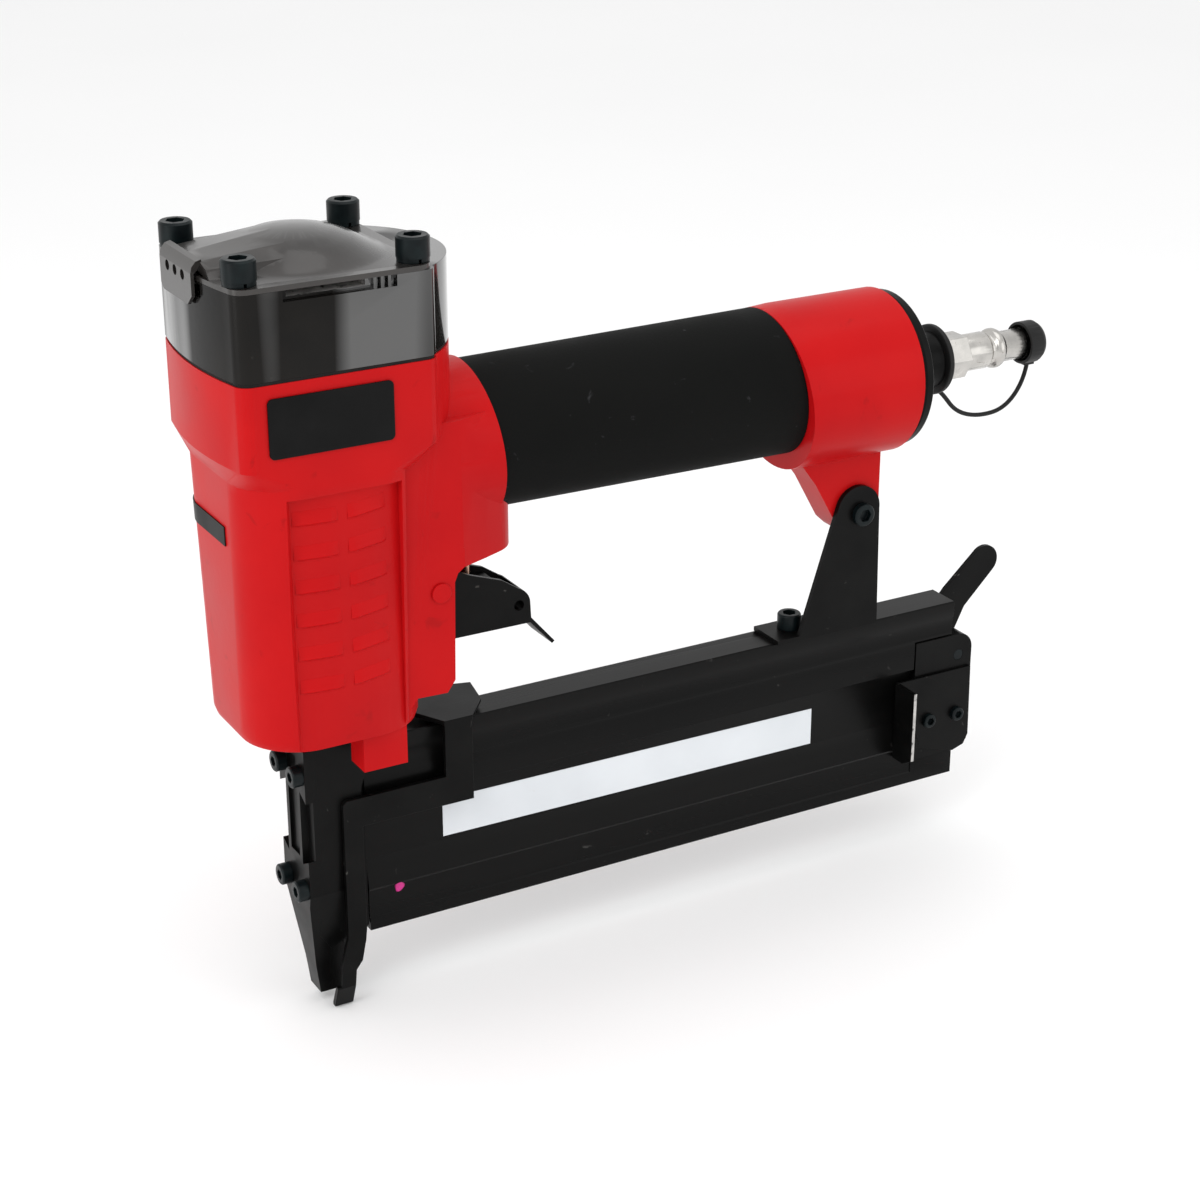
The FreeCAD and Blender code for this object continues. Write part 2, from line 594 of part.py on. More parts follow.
dust_cap = new_body("dust_cap")
turned(dust_cap, XZ, [(d.dust_mouth, d.dust_bore), (d.dust_mouth, d.dust_radius),
                      (268.3, d.dust_radius), (269.9, 6.2), (d.dust_end, 4), (d.dust_end, 0),
                      (d.plug_tip + 0.5, 0), (d.plug_tip + 0.5, d.dust_bore)],
       (0, d.plug_level), upright=False)
slab(dust_cap, XZ, [box(264.9, 165, 269.1, 166.6)], -1.5, 1.5)

# ---------------------------------------------------------------- trigger

trigger_pin = new_body("trigger_pin")
slab(trigger_pin, XZ, [circle(d.pin_along, d.pin_level, 1.97)], -d.neck_radius, d.neck_radius)
slab(trigger_pin, XZ, [circle(d.pin_along, d.pin_level, 3.1)],
     -d.neck_radius - 0.9, -d.neck_radius)

trigger = new_body("trigger")
slab(trigger, XZ, [[(44, 113), (70.7, 112.9), (70.3, 120.4), (66.5, 125, (69, 123.2)),
                    (60.5, 129), (50, 132.7), (44, 135.5), (36, 140.6), (31, 141.2),
                    (27.6, 138.5), (27.6, 134.5), (36, 118)]], -d.trigger_half, d.trigger_half)
hollow(trigger, XZ, [[(45, 114.6), (67, 114.6), (67, 143), (26, 143), (26, 135.2),
                      (29.3, 134.6), (37.2, 119.2)]],
       d.trigger_wall - d.trigger_half, d.trigger_half - d.trigger_wall)
slab(trigger, XZ, [[(70.3, 112.9), (77.9, 104.2), (78.8, 104.9), (70.7, 114.4)]],
     -d.trigger_half, d.trigger_half)
slab(trigger, XZ, [box(45, 126.6, 60, 127.8)], -d.trigger_half, d.trigger_half)
hollow(trigger, XZ, [circle(d.pin_along, d.pin_level, 2.05)], -8, 8)
hollow(trigger, XZ, [circle(66.4, 119.4, 1.7)], -8, 8)

valve_body = new_body("trigger_valve_body")
turned(valve_body, XZ, [(1.85, 138.6), (4.4, 138.6), (4.9, 139.2), (4.9, 143.6), (3.9, 143.6),
                        (3.9, 157), (1.2, 157), (1.2, 155.6), (3, 155.6), (3, 145),
                        (1.85, 145)], (d.stem_along, 0))

stem = new_body("trigger_valve_stem")
turned(stem, XZ, [(0, d.stem_foot - 1), (0.8, d.stem_foot - 1), (1.2, d.stem_foot - 0.6),
                  (1.2, 134.2), (d.stem_radius, 134.8), (d.stem_radius, 146.2), (2.7, 146.2),
                  (2.7, 148.4), (0, 148.4)], (d.stem_along, 0))

stem_spring = new_body("trigger_valve_spring")
coil(stem_spring, XZ, 2.2, 0.3, 148.45, 155.55, 1.5, (d.stem_along, 0))

# ---------------------------------------------------------------- nose

nose = new_body("nose_body")
slab(nose, XZ, [[(d.nose_front, 96), (d.nose_front, 22), (-1, 16), (-1, 0), (3.2, 0),
                 (d.nose_side_rear, 24), (d.nose_side_rear, 72), (11, 76), (11, 96)]],
     -d.nose_half, d.nose_half)
for side in (-1, 1):
    edge = [(side * 4, -1), (side * 12, -1), (side * 12, 40), (side * d.nose_half, 38),
            (side * 4.2, 10)]
    hollow(nose, YZ, [edge if side > 0 else edge[::-1]], -6, 13)
slab(nose, XZ, [[(3, 17), (d.nose_rear, 21), (d.nose_rear, 92), (3, 92)]], -6, 6)
slab(nose, XY, [circle(0, 0, 7.95)], 95, d.floor_top)
hollow(nose, XY, [box(-1, -1.7, 1, 1.7)], 0, d.floor_top)
hollow(nose, XZ, [box(0.9, 19, 13, 71.6)], -1.6, 1.6)

front = new_body("nose_front_plate")
slab(front, XZ, [[(d.plate_front, 88), (d.plate_front, 34), (-4.6, 0), (-1, 0), (-1, 16),
                  (d.nose_front, 22), (d.nose_front, 88)]], -d.nose_half, d.nose_half)
for side in (-1, 1):
    edge = [(side * 4, -1), (side * 12, -1), (side * 12, 40), (side * d.nose_half, 38),
            (side * 4.2, 10)]
    hollow(front, YZ, [edge if side > 0 else edge[::-1]], -10, 0)
    edge = [(side * 5.4, 48), (side * 11, 51), (side * 11, 70), (side * 5.4, 73)]
    hollow(front, YZ, [edge if side > 0 else edge[::-1]], -10, -6.6)
hollow(front, YZ, [box(-3.4, 50, 3.4, 84)], -10, -8)

nose_screws = new_body("nose_screws")
nose_screw = turned(nose_screws, XZ, [(-12.4, 0), (-12.4, 3.0), (-12, 3.4), (d.plate_front, 3.4),
                                      (d.plate_front, 1.95), (5, 1.95), (5, 0)],
                    (0, d.lower_screw_level), -d.front_screw_across, upright=False)
nose_socket = hollow(nose_screws, YZ, [hexagon(-d.front_screw_across, d.lower_screw_level, 3)],
                     -12.4, -10.4)
screw_rise = d.upper_screw_level - d.lower_screw_level
repeated(nose_screws, [nose_screw, nose_socket], "Y_Axis", 2 * d.front_screw_across, 2,
         "Z_Axis", screw_rise, 2)
for part, near, far in ((front, -10, 0), (nose, -6, 5)):
    hole = hollow(part, YZ, [circle(-d.front_screw_across, d.lower_screw_level, 2)], near, far)
    repeated(part, [hole], "Y_Axis", 2 * d.front_screw_across, 2, "Z_Axis", screw_rise, 2)

arm = new_body("safety_arm")
slab(arm, XZ, [[(2.3, 22), (-0.4, 11), (-0.7, 4.6), (4.1, 4.6), (4.6, 9.8), (6.8, 12.7),
                (8.3, 20), (8.7, 24), (8.7, 59.6), (46.9, 59.6), (46.9, 88.5), (37.3, 88.5),
                (37.3, 69.4), (3.6, 69.4), (2.3, 68)]], d.arm_outer, d.arm_inner)
slab(arm, YZ, [[(d.arm_outer, 4.9), (d.arm_outer, 4.4), (-9.3, d.arm_foot),
                (-7.6, d.arm_foot), (-7.4, -2.3), (d.arm_inner, 4.6), (d.arm_inner, 4.9)]],
     -2.2, 4.1)
slab(arm, XY, [[(37.3, d.arm_outer), (46.9, d.arm_outer), (55, -2), (57.5, 10.4), (51, 12.2),
                (27, 12.2), (27, 8)]], 87, 88.5)
slab(arm, XZ, [box(41, 78, 49, 88.5)], 10.4, 12.2)

safety_spring = new_body("safety_spring")
coil(safety_spring, XZ, 2, 0.35, 88.55, 103.85, 2.2, (31, 0), 10.2)

# ---------------------------------------------------------------- magazine

rail = new_body("fixed_magazine")
section = [(d.neck_half + 0.2, d.rail_base), (d.rail_half, d.rail_base),
           (d.rail_half, 72.6), (d.rail_half - 0.6, 73.6), (d.rail_half - 0.6, 79),
           (d.rail_half, 80), (d.rail_half, d.rail_top - 0.4), (d.rail_half - 0.4, d.rail_top)]
slab(rail, YZ, [mirrored(section) + [(-4.4, 68), (-5.4, 68), (-5.4, 72),
                                    (5.4, 72), (5.4, 68), (4.4, 68)]], d.rail_front, d.rail_rear)
hollow(rail, XZ, [box(d.slide_stop - 0.6, 60, 238, 73)], -7, 7)
hollow(rail, XY, [circle(172.3, 0, 2)], 78, d.rail_top)

slide = new_body("sliding_magazine")
outer = [(d.rail_half, d.slide_base), (d.rail_half, 22.8), (d.rail_half - 0.4, 23.3),
         (d.rail_half - 0.4, 32.7), (d.rail_half, 33.5), (6, 36.6), (5.2, 40.2), (4.6, 42),
         (d.neck_half, 43), (d.neck_half, 68.3), (5.2, 68.3), (5.2, 71.6), (d.slot_half, 71.6),
         (d.slot_half, 33.3), (3.8, 33.3), (3.8, 25), (d.slot_half, 25), (d.slot_half, 21)]
slab(slide, YZ, [mirrored(outer)], d.slide_front, d.slide_stop)
slab(slide, XZ, [box(d.slide_stop, d.slide_base, d.slide_rear, d.block_base)],
     -d.rail_half, d.rail_half)
hollow(slide, XZ, [circle(23, 31.5, 1.3)], -8, -3.8)

spec_label = new_body("spec_label")
slab(spec_label, XZ, [[(39.5, 44.4), (179.8, 43.4), (179.8, 56.6), (39.5, 57.6)]],
     -d.neck_half - 0.15, -d.neck_half)

block = new_body("magazine_end_block")
slab(block, XZ, [[(d.slide_stop, d.block_base), (d.slide_rear, d.block_base),
                  (d.block_rear, 30.5), (d.block_rear, 66.5),
                  (239.8, d.block_top, (243.9, 70.7)), (d.slide_stop, d.block_top)]],
     -d.rail_half, d.rail_half)
hollow(block, XZ, [circle(d.latch_along, d.latch_level, 2)], -7, 7)
hollow(block, YZ, [circle(0, d.rod_level, d.rod_radius)], d.slide_stop, 230)
block_hole = hollow(block, XZ, [circle(227.2, 42.6, 1.5)], -7, -1)
repeated(block, [block_hole], "X_Axis", 12.1, 2)

rod = new_body("pusher_rod")
slab(rod, YZ, [circle(0, d.rod_level, d.rod_radius)], 14, 230)

block_screws = new_body("end_block_screws")
block_screw = turned(block_screws, YZ, [(-9.6, 0), (-9.6, 2.1), (-9.2, 2.5),
                                        (-7.7, 2.5), (-7.7, 1.47), (-1.5, 1.47), (-1.5, 0)], (0, 42.6), 227.2, upright=False)
block_socket = hollow(block_screws, XZ, [hexagon(227.2, 42.6, 2.5)], -9.6, -8.2)
repeated(block_screws, [block_screw, block_socket], "X_Axis", 12.1, 2)

latch_plate = new_body("latch_plate")
slab(latch_plate, XZ, [[(213.4, 34), (224.5, 32.4), (238.9, 27.9), (243.6, 29.4),
                        (245.4, 33), (244.8, 59.6), (213.4, 59.6)]], -7.7, -d.rail_half)
# finger tab that stands out from the plate's front edge
slab(latch_plate, XZ, [box(213.4, 30.8, 214.6, 59.4)], -17.4, -d.rail_half)
hollow(latch_plate, YZ, [[(-18, 30), (-11, 30), (-18, 34)]], 213, 215)
plate_hole = hollow(latch_plate, XZ, [circle(227.2, 42.6, 1.6)], -8, -6)
repeated(latch_plate, [plate_hole], "X_Axis", 12.1, 2)

latch_pin = new_body("latch_pin")
slab(latch_pin, XZ, [circle(d.latch_along, d.latch_level, 1.97)], -6.5, 12)
slab(latch_pin, XZ, [circle(d.latch_along, d.latch_level, 4)], 11.4, 12.4)

lever = new_body("latch_lever")
slab(lever, XZ, [[(235.6, 60), (244.4, 60), (252, 75.6), (263.8, 87.4),
                  (255.6, 95.2, (263.6, 95.6)), (243.2, 84), (236.4, 76), (235.6, 70)]],
     6.9, 8.6)
hollow(lever, XZ, [circle(d.latch_along, d.latch_level, 2.05)], 6, 9)

latch_spring = new_body("latch_spring")
coil(latch_spring, YZ, 3, 0.35, 8.65, 11.35, 0.9, (0, d.latch_level), d.latch_along,
     upright=False)

pusher = new_body("pusher")
slab(pusher, XZ, [box(13, 21.5, 30, 71)], -1.25, 1.25)
slab(pusher, YZ, [box(-3.4, 25.4, 3.4, 32.9)], 13, 27)
hollow(pusher, YZ, [circle(0, d.rod_level, 1.8)], 13, 30)

pusher_spring = new_body("pusher_spring")
coil(pusher_spring, XZ, 2.5, 0.35, 30.1, d.slide_stop - 0.1, 5, (0, d.rod_level), upright=False)

# ---------------------------------------------------------------- strut

strut = new_body("rear_bracket")
slab(strut, XZ, [[(170.8, d.rail_top), (202.6, d.rail_top), (201.6, d.strut_level + 0.9),
                  (185.4, 131, (d.strut_along + 0.2, d.strut_level + 9.8))]],
     -d.strut_outer, -6.5)
slab(strut, XY, [box(162.5, -d.strut_outer, 202.6, 6.5)], d.rail_top, d.rail_top + 1.6)
hollow(strut, XY, [circle(172.3, 0, 2.3)], d.rail_top, d.rail_top + 1.6)
hollow(strut, XZ, [circle(d.strut_along, d.strut_level, 2.5)], -9, -6)

base_screw = new_body("bracket_base_screw")
turned(base_screw, XZ, [(0, 79), (1.95, 79), (1.95, d.rail_top + 1.6), (4, d.rail_top + 1.6),
                        (4, 91.9), (3.6, 92.4), (0, 92.4)], (172.3, 0))
hollow(base_screw, XY, [hexagon(172.3, 0, 4)], 89.6, 92.4)

pivot_screw = new_body("bracket_pivot_screw")
turned(pivot_screw, YZ, [(-10.6, 0), (-10.6, 3.4), (-10.2, 3.9), (-d.strut_outer, 3.9),
                         (-d.strut_outer, 2.45), (5, 2.45), (5, 0)],
       (0, d.strut_level), d.strut_along, upright=False)
hollow(pivot_screw, XZ, [hexagon(d.strut_along, d.strut_level, 4)], -10.6, -8.8)

# ---------------------------------------------------------------- strap of the dust cap

strap_route = [(229.7, 161.4), (231.6, 160.0), (237.6, 152.6), (247.0, 149.4), (258.3, 150.2),
               (265.9, 158.5), (267.0, 164.8)]


def tube_along(points, radius):
    """Round cord of straight runs joined by tangent arcs, in the plane Y = 0."""
    nodes = [Vector(x, 0, z) for x, z in points]
    edges, radii, here = [], [], nodes[0]
    for before, corner, after in zip(nodes, nodes[1:], nodes[2:]):
        into, out = (corner - before).normalize(), (after - corner).normalize()
        turn = into.getAngle(out)
        reach = 0.45 * min((corner - before).Length, (after - corner).Length)
        bend = reach / math.tan(turn / 2)
        start, finish = corner - into * reach, corner + out * reach
        middle_way = (out - into).normalize()
        middle = corner + middle_way * (bend / math.cos(turn / 2) - bend)
        edges += [Part.LineSegment(here, start).toShape(),
                  Part.Arc(start, middle, finish).toShape()]
        radii.append(round(bend, 1))
        here = finish
    edges.append(Part.LineSegment(here, nodes[-1]).toShape())
    path = Part.Wire(edges)
    first = (nodes[1] - nodes[0]).normalize()
    ring_wire = Part.Wire([Part.makeCircle(radius, nodes[0], first)])
    solid = path.makePipeShell([ring_wire], True, False)
    ratio = solid.Volume / (math.pi * radius ** 2 * path.Length)
    print("strap length", round(path.Length, 1), "bend radii", radii, "volume ratio",
          round(ratio, 3))
    return solid


strap = doc.addObject("Part::Feature", "dust_cap_strap")
strap.Label = "dust_cap_strap"
strap.Shape = tube_along(strap_route, DIMENSIONS["strap_radius"])
strap.Placement = Placement()
bodies["dust_cap_strap"] = strap

# ---------------------------------------------------------------- check and export

doc.recompute()
for item in doc.Objects:
    if any(word in item.State for word in ("Invalid", "Error")):
        raise ValueError(f"{item.Name}: {item.State}")
os.makedirs("parts", exist_ok=True)
for label, body in bodies.items():
    shape = body.Shape
    if shape.isNull() or not shape.isValid():
        raise ValueError(f"{label}: shape is not valid")
    shape.exportStep(f"parts/{label}.step")
    bounds = shape.BoundBox
    print(f"{label:22s} solids {len(shape.Solids)}  volume {shape.Volume:9.1f}  "
          f"X {bounds.XMin:.1f}..{bounds.XMax:.1f}  Y {bounds.YMin:.1f}..{bounds.YMax:.1f}  "
          f"Z {bounds.ZMin:.1f}..{bounds.ZMax:.1f}")
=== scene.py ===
import json
import math

import bmesh
import bpy
from mathutils import Matrix, Vector
from mathutils.bvhtree import BVHTree


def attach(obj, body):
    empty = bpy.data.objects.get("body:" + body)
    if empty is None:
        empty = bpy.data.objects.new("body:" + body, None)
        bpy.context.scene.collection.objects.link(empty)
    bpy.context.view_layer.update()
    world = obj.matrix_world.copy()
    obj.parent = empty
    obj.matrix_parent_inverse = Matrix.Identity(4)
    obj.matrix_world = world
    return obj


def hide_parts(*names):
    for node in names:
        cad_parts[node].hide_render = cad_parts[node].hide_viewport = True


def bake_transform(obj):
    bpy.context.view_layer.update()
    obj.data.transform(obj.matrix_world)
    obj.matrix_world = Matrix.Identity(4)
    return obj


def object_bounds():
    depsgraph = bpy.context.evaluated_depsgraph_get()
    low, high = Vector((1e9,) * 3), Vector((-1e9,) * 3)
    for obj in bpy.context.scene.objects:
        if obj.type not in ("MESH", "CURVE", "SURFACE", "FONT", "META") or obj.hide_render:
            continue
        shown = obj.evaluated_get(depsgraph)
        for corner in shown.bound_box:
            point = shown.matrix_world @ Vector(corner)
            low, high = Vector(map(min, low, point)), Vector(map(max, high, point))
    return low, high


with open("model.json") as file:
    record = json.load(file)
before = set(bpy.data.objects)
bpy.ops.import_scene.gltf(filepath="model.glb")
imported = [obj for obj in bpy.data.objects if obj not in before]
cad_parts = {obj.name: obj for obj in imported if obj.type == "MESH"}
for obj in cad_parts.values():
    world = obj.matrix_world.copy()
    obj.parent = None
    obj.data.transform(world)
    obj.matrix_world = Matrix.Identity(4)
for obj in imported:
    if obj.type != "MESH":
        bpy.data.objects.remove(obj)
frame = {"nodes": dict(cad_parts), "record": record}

cad_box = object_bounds()
scene = bpy.context.scene
nodes = frame["nodes"]
body_of_node = {n: b for b, names in frame["record"]["behaviour"]["bodies"].items() for n in names}
slot_of_node = {s["node"]: s["material_slot"] for s in frame["record"]["subparts"]}
MM = 0.001

# ---------------------------------------------------------------- camera

AZIMUTH, ELEVATION = math.radians(-29.5), math.radians(22.75)
CAMERA_AT = (-0.2594, -0.6338, 0.4173)
FOCAL_LENGTH, SENSOR = 74.07, 36
back = Vector((math.sin(AZIMUTH) * math.cos(ELEVATION), -math.cos(AZIMUTH) * math.cos(ELEVATION),
               math.sin(ELEVATION)))
right = Vector((math.cos(AZIMUTH), math.sin(AZIMUTH), 0))
up = back.cross(right)
lens_data = bpy.data.cameras.new("camera")
lens_data.sensor_width = SENSOR
lens_data.lens = FOCAL_LENGTH
lens_data.clip_start = 0.01
camera = bpy.data.objects.new("camera", lens_data)
scene.collection.objects.link(camera)
turn = Matrix((right, up, back)).transposed().to_4x4()
camera.matrix_world = Matrix.Translation(CAMERA_AT) @ turn
scene.camera = camera

# ---------------------------------------------------------------- dust cap strap

STRAP_ROUTE = [(229.7, 161.4), (231.6, 160.0), (237.6, 152.6), (247.0, 149.4), (258.3, 150.2),
               (265.9, 158.5), (267.0, 164.8)]
STRAP_RADIUS = 0.75 * MM


def centreline(points):
    """Points along the smooth NURBS line that has these points as its control points."""
    data = bpy.data.curves.new("route", "CURVE")
    data.dimensions = "3D"
    data.resolution_u = 16
    spline = data.splines.new("NURBS")
    spline.points.add(len(points) - 1)
    for place, (x, z) in zip(spline.points, points):
        place.co = (x * MM, 0, z * MM, 1)
    spline.order_u = 3
    spline.use_endpoint_u = True
    holder = bpy.data.objects.new("route", data)
    mesh = bpy.data.meshes.new_from_object(holder)
    line = [v.co.copy() for v in mesh.vertices]
    bpy.data.objects.remove(holder)
    return line


def made_from(name, mesh):
    """An object in the scene from an edited mesh, which is freed."""
    data = bpy.data.meshes.new(name)
    mesh.to_mesh(data)
    mesh.free()
    piece = bpy.data.objects.new(name, data)
    scene.collection.objects.link(piece)
    return piece


def tube(name, line, radius, sides=16):
    """Closed round tube along a line of points."""
    mesh = bmesh.new()
    rings = []
    side = Vector((0, 1, 0))
    for i, point in enumerate(line):
        ahead = (line[min(i + 1, len(line) - 1)] - line[max(i - 1, 0)]).normalized()
        side = (side - ahead * side.dot(ahead)).normalized()
        other = ahead.cross(side)
        rings.append([mesh.verts.new(point + radius * (
            side * math.cos(a) + other * math.sin(a)))
            for a in (2 * math.pi * k / sides for k in range(sides))])
    for first, second in zip(rings, rings[1:]):
        for k in range(sides):
            mesh.faces.new((first[k], first[(k + 1) % sides],
                            second[(k + 1) % sides], second[k]))
    mesh.faces.new(rings[0][::-1])
    mesh.faces.new(rings[-1])
    bmesh.ops.recalc_face_normals(mesh, faces=mesh.faces)
    piece = made_from(name, mesh)
    piece.data.shade_smooth()
    return piece


strap_line = centreline(STRAP_ROUTE)
strap = tube("dust_strap", strap_line, STRAP_RADIUS)
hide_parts("dust_cap_strap")
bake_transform(strap)

# ---------------------------------------------------------------- materials


def material(name):
    made = bpy.data.materials.new(name)
    made.use_nodes = True
    return made


def add(made, kind, **values):
    node = made.node_tree.nodes.new(kind)
    for key, value in values.items():
        if key in node.inputs:
            node.inputs[key].default_value = value
        else:
            setattr(node, key, value)
    return node


def wire(made, source, target):
    made.node_tree.links.new(source, target)


def noise(made, scale, detail=3, stretch=(1, 1, 1), distortion=0):
    """Noise in the object's own coordinates, in features per metre."""
    place = add(made, "ShaderNodeTexCoord")
    mapping = add(made, "ShaderNodeMapping")
    mapping.inputs["Scale"].default_value = stretch
    texture = add(made, "ShaderNodeTexNoise", Scale=scale, Detail=detail, Distortion=distortion)
    wire(made, place.outputs["Object"], mapping.inputs["Vector"])
    wire(made, mapping.outputs[0], texture.inputs["Vector"])
    return texture.outputs[0]


def between(made, value, low, high, start=0.0, end=1.0):
    """A value turned from one range into another."""
    ramp = add(made, "ShaderNodeMapRange")
    wire(made, value, ramp.inputs["Value"])
    ramp.inputs["From Min"].default_value = start
    ramp.inputs["From Max"].default_value = end
    ramp.inputs["To Min"].default_value = low
    ramp.inputs["To Max"].default_value = high
    return ramp.outputs[0]


def mixed(made, factor, first, second):
    mix = made.node_tree.nodes.new("ShaderNodeMix")
    mix.data_type = "RGBA"
    wire(made, factor, mix.inputs[0])
    for socket, colour in ((mix.inputs[6], first), (mix.inputs[7], second)):
        if isinstance(colour, tuple):
            socket.default_value = (*colour, 1)
        else:
            wire(made, colour, socket)
    return mix.outputs[2]


def bumped(made, shader, *layers):
    """Bump from several heights, each with its strength and depth in metres."""
    normal = None
    for height, strength, depth in layers:
        node = add(made, "ShaderNodeBump", Strength=strength, Distance=depth)
        wire(made, height, node.inputs["Height"])
        if normal:
            wire(made, normal, node.inputs["Normal"])
        normal = node.outputs[0]
    wire(made, normal, shader.inputs["Normal"])


def surface(name, dark, light, rough, metal=0.0, tone=60, grain=900, depth=0.00003, coat=0.0,
            coat_rough=0.1, stretch=(1, 1, 1), specular=0.5, wear=None, wear_scale=40,
            wear_start=0.62, wear_rough=None, strength=0.35, reflection_streaks=0.0):
    """Procedural finish: two tones in slow patches, varied roughness, fine grain, scuffs, and
    optional painted reflection streaks in the coat.
    """
    made = material(name)
    shader = made.node_tree.nodes["Principled BSDF"]
    shader.inputs["Metallic"].default_value = metal
    shader.inputs["Specular IOR Level"].default_value = specular
    shader.inputs["Coat Weight"].default_value = coat
    shader.inputs["Coat Roughness"].default_value = coat_rough
    patches = noise(made, tone, 4, stretch)
    fine = noise(made, grain, 2, stretch)
    colour = mixed(made, between(made, patches, 0, 1, 0.3, 0.7), dark, light)
    roughness = between(made, patches, rough[0], rough[1], 0.3, 0.7)
    if wear:
        scratches = noise(made, wear_scale, 9, distortion=0.6)
        mask = between(made, scratches, 0, 1, wear_start, wear_start + 0.08)
        colour = mixed(made, mask, colour, wear)
        if wear_rough is not None:
            blend = add(made, "ShaderNodeMix")
            wire(made, mask, blend.inputs[0])
            wire(made, roughness, blend.inputs[2])
            blend.inputs[3].default_value = wear_rough
            roughness = blend.outputs[0]
    # painted reflection: upright bands where the coat is thicker and of higher index, standing in
    # for streaks of studio reflections on gloss black
    if reflection_streaks:
        reflection_bands = between(made, noise(made, 34, 1, (1, 1, 0.03), 0.2), 0, 1, 0.50, 0.58)
        wire(made, between(made, reflection_bands, coat, reflection_streaks), shader.inputs["Coat Weight"])
        shader.inputs["Coat IOR"].default_value = 2.0
    wire(made, colour, shader.inputs["Base Color"])
    wire(made, roughness, shader.inputs["Roughness"])
    bumped(made, shader, (fine, strength, depth), (patches, 0.25, depth * 4))
    return made


LOOKS = {
    "red_paint": surface("red_paint", (0.43, 0.004, 0.006), (0.50, 0.006, 0.007), (0.30, 0.40),
                         tone=28, grain=420, depth=0.00005, coat=0.04, coat_rough=0.15,
                         specular=0.06, wear=(0.38, 0.005, 0.006), wear_scale=130,
                         wear_start=0.66),
    # gloss black with painted reflection streaks in its coat
    "black_gloss": surface("black_gloss", (0.003, 0.003, 0.003), (0.008, 0.007, 0.006),
                           (0.12, 0.22), tone=45, grain=520, depth=0.00005, coat=0.04,
                           coat_rough=0.05, specular=0.08, wear=(0.030, 0.027, 0.024),
                           wear_scale=260, wear_start=0.70, reflection_streaks=1.0),
    "gunmetal": surface("gunmetal", (0.020, 0.018, 0.017), (0.046, 0.041, 0.038), (0.26, 0.36),
                        metal=0.6, tone=30, grain=700, depth=0.00002, coat=0.5,
                        coat_rough=0.12),
    "black_oxide": surface("black_oxide", (0.002, 0.004, 0.005), (0.005, 0.010, 0.011),
                           (0.30, 0.44), metal=0.2, tone=200, grain=1500, depth=0.00002,
                           specular=0.2, wear=(0.07, 0.09, 0.09), wear_scale=500,
                           wear_start=0.72),
    "black_steel": surface("black_steel", (0.002, 0.002, 0.002), (0.005, 0.005, 0.0048),
                           (0.28, 0.42), metal=0.1, tone=70, grain=1100, depth=0.00004,
                           specular=0.10, wear=(0.060, 0.058, 0.054), wear_scale=300,
                           wear_start=0.70),
    "black_extrusion": surface("black_extrusion", (0.002, 0.002, 0.002),
                               (0.0045, 0.0044, 0.0042), (0.24, 0.36), metal=0.1, tone=60,
                               grain=800, depth=0.00003, stretch=(0.12, 1, 1),
                               specular=0.12, wear=(0.045, 0.043, 0.041), wear_scale=240,
                               wear_start=0.71),
    "bare_aluminium": surface("bare_aluminium", (0.50, 0.50, 0.51), (0.66, 0.66, 0.67),
                              (0.25, 0.38), metal=1.0, tone=90, grain=1400, depth=0.00002,
                              stretch=(1, 1, 0.1)),
    "spring_steel": surface("spring_steel", (0.30, 0.30, 0.30), (0.46, 0.45, 0.44), (0.28, 0.40),
                            metal=1.0, tone=300, grain=2000, depth=0.00001),
    "hard_steel": surface("hard_steel", (0.42, 0.42, 0.42), (0.60, 0.60, 0.60), (0.22, 0.34),
                          metal=1.0, tone=150, grain=1800, depth=0.00001),
    "nickel": surface("nickel", (0.42, 0.41, 0.39), (0.60, 0.58, 0.55), (0.16, 0.28), metal=1.0,
                      tone=160, grain=1300, depth=0.00002, wear=(0.28, 0.26, 0.23),
                      wear_scale=420, wear_start=0.64, wear_rough=0.45),
    "brass": surface("brass", (0.55, 0.30, 0.20), (0.72, 0.42, 0.30), (0.26, 0.38), metal=1.0,
                     tone=300, grain=1500, depth=0.00001),
    "grip_rubber": surface("grip_rubber", (0.0028, 0.0030, 0.0028), (0.0055, 0.0056, 0.0053),
                           (0.60, 0.78), tone=35, grain=1300, depth=0.00008, specular=0.07,
                           wear=(0.028, 0.028, 0.030), wear_scale=180, wear_start=0.67,
                           strength=0.6),
    "black_rubber": surface("black_rubber", (0.004, 0.004, 0.004), (0.009, 0.009, 0.009),
                            (0.45, 0.60), tone=120, grain=900, depth=0.00003, specular=0.25),
    "gasket": surface("gasket", (0.008, 0.008, 0.008), (0.018, 0.017, 0.016), (0.70, 0.85),
                      tone=200, grain=1800, depth=0.00004, specular=0.2),
    "bumper_rubber": surface("bumper_rubber", (0.02, 0.02, 0.02), (0.04, 0.04, 0.04),
                             (0.60, 0.75), tone=120, grain=900, depth=0.00005),
    "badge": surface("badge", (0.004, 0.004, 0.004), (0.008, 0.008, 0.008), (0.34, 0.44),
                     tone=60, grain=900, depth=0.00002, specular=0.08),
    "label": surface("label", (0.66, 0.69, 0.72), (0.74, 0.77, 0.80), (0.34, 0.46), tone=30,
                     grain=700, depth=0.00002, coat=0.3, coat_rough=0.2,
                     wear=(0.62, 0.63, 0.64), wear_scale=220, wear_start=0.70),
    "worn_steel": surface("worn_steel", (0.38, 0.37, 0.36), (0.58, 0.56, 0.54), (0.40, 0.55),
                          metal=0.3, tone=400, grain=1500, depth=0.00003,
                          wear=(0.03, 0.03, 0.03), wear_scale=300, wear_start=0.58),
    "paint_mark": surface("paint_mark", (0.46, 0.01, 0.16), (0.60, 0.02, 0.24), (0.40, 0.55),
                          tone=500, grain=1500, depth=0.00004),
}

# ---------------------------------------------------------------- pieces from the CAD nodes

SHARP = math.radians(32)


